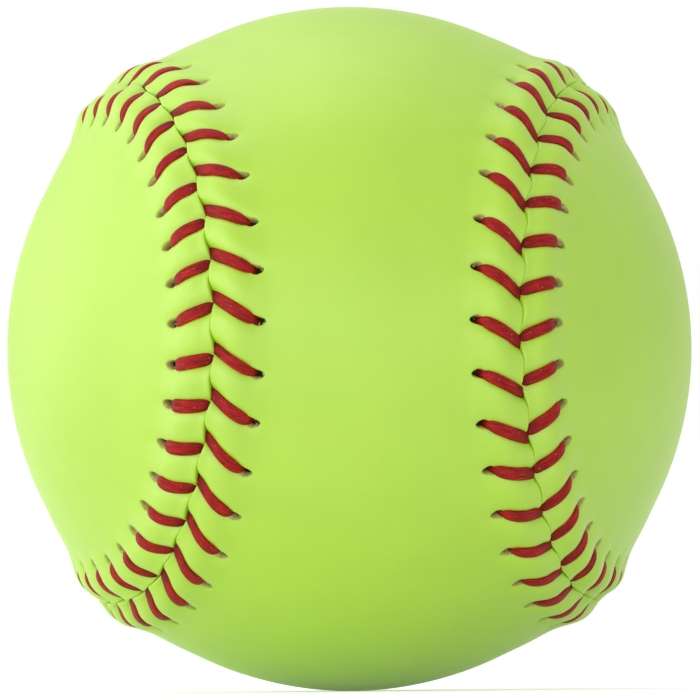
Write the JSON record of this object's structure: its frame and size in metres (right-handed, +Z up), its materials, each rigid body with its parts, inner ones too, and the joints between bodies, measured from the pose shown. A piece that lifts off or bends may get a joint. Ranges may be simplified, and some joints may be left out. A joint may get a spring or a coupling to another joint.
{
  "type": "softball",
  "caption": "Optic-yellow ball with a figure-of-eight two-panel cover, sewn over a moulded core with red thread along a raised seam.",
  "frame": {"origin": "centre of the ball", "axes": "+Z up; -Y through the middle of the front panel's waist, between the two near runs of the seam; the front panel's round ends lie over +Z and -Z, the back panel's over +X and -X"},
  "size_m": [0.097, 0.097, 0.097],
  "materials": {
    "core_foam": "moulded polyurethane foam skin, matt",
    "cement": "dried contact cement, dull amber",
    "cover_leather": "smooth synthetic leather, optic yellow, soft sheen",
    "waxed_thread": "waxed red cotton thread, pulled flat"
  },
  "bodies": {
    "root": {"core": "core_foam", "cement_film_front": "cement", "cement_film_back": "cement", "cover_panel_front": "cover_leather", "cover_panel_back": "cover_leather", "thread_first_needle": "waxed_thread", "thread_second_needle": "waxed_thread"}
  },
  "joints": []
}
